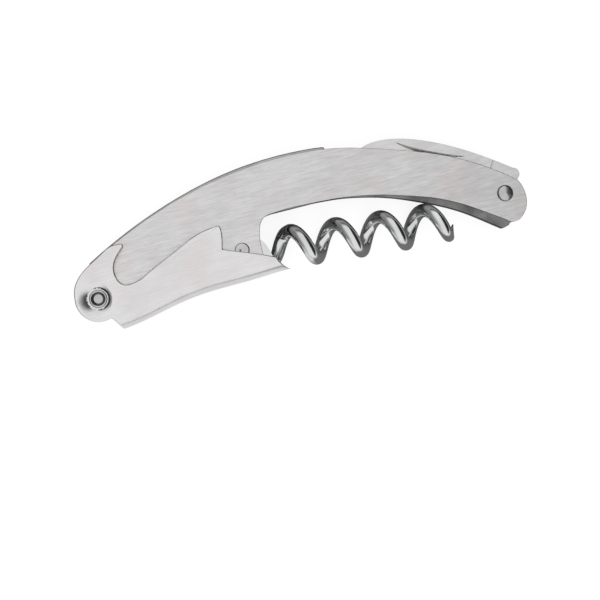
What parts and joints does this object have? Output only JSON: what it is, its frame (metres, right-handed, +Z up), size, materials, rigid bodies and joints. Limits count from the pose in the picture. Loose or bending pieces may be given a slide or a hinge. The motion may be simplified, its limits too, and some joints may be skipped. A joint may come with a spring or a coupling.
{
  "type": "waiter's corkscrew",
  "caption": "Folding all-steel waiter's corkscrew: curved side plates, a channel lever with a cap lifter and tip notch, a wire worm and a foil knife.",
  "frame": {"origin": "middle of the folded tool's footprint, at its lowest point, with the tool lying flat", "axes": "+X from the lever rivet to the knife rivet, +Y towards the curved back, +Z up through the layers to the front plate"},
  "size_m": [0.1124, 0.0306, 0.0107],
  "materials": {
    "plate_steel": "fine brushed stainless, lines along the length",
    "spacer_steel": "ground stainless edge",
    "spring_steel": "blanked stainless, rough edge",
    "pin_steel": "ground flush and brushed with the plates",
    "lever_steel": "satin stainless sheet",
    "rivet_steel": "bright steel rivet",
    "worm_steel": "polished wire",
    "blade_steel": "satin ground blade"
  },
  "bodies": {
    "frame": {"front_plate": "plate_steel", "rear_plate": "plate_steel", "spine_spacer": "spacer_steel", "blade_spring": "spring_steel", "spine_pins": "pin_steel", "spring_pins": "pin_steel", "lever_rivet": "rivet_steel", "worm_rivet": "rivet_steel", "blade_rivet": "rivet_steel"},
    "lever": {"lever": "lever_steel"},
    "worm": {"worm": "worm_steel"},
    "blade": {"blade": "blade_steel"}
  },
  "joints": [
    {"name": "lever_pivot", "type": "hinge", "parent": "frame", "child": "lever", "pos_m": [-0.05087, -0.00707, 0.00535], "axis": [0, 0, -1], "range_deg": [0, 150]},
    {"name": "worm_pivot", "type": "hinge", "parent": "frame", "child": "worm", "pos_m": [-0.01558, -0.00447, 0.00535], "axis": [0, 0, -1], "range_deg": [0, 90]},
    {"name": "blade_pivot", "type": "hinge", "parent": "frame", "child": "blade", "pos_m": [0.05083, -0.00707, 0.00535], "axis": [0, 0, -1], "range_deg": [0, 110]}
  ],
  "couplings": [
    {"joint": "worm_pivot", "follows": "lever_pivot", "ratio": 0.6}
  ]
}
